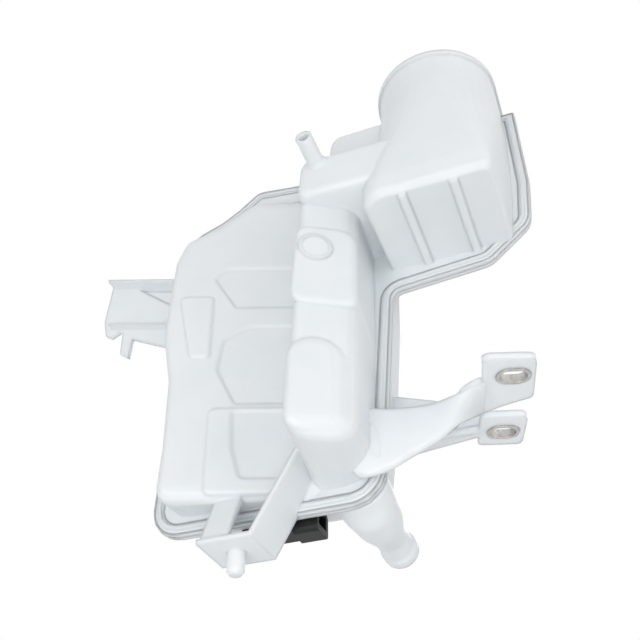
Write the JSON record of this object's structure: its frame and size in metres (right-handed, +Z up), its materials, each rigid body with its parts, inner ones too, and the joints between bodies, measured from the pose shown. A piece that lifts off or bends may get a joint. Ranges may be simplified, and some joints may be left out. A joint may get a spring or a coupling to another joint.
{
  "type": "coolant expansion tank",
  "caption": "Translucent welded coolant expansion tank with an offset filler dome, vent nipple, hose spigot, slotted mounting arms, locating peg and a float level sensor.",
  "frame": {"origin": "on the axis of the locating peg, at its root under the bracket's foot", "axes": "+X from the low chamber towards the filler dome, +Y from the front shell to the rear shell along the lower hose spigot, +Z up along the filler neck"},
  "size_m": [0.311, 0.163, 0.323],
  "materials": {
    "tank_plastic": "milky translucent moulding",
    "sleeve_steel": "zinc plated",
    "sensor_plastic": "black moulding",
    "seal_rubber": "smooth rubber",
    "terminal_brass": "tinned blade",
    "reed_glass": "glass capsule",
    "float_plastic": "foamed plastic",
    "magnet_ferrite": "ferrite"
  },
  "bodies": {
    "tank": {"near_shell": "tank_plastic", "far_shell": "tank_plastic", "near_sleeve": "sleeve_steel", "far_sleeve": "sleeve_steel", "sensor_body": "sensor_plastic", "sensor_seal": "seal_rubber", "sensor_terminals": "terminal_brass", "reed_capsule": "reed_glass"},
    "float": {"level_float": "float_plastic", "float_magnet": "magnet_ferrite"}
  },
  "joints": [
    {"name": "float_rise", "type": "slide", "parent": "tank", "child": "float", "axis": [0, 0, 1], "range_m": [0, 0.028]}
  ]
}
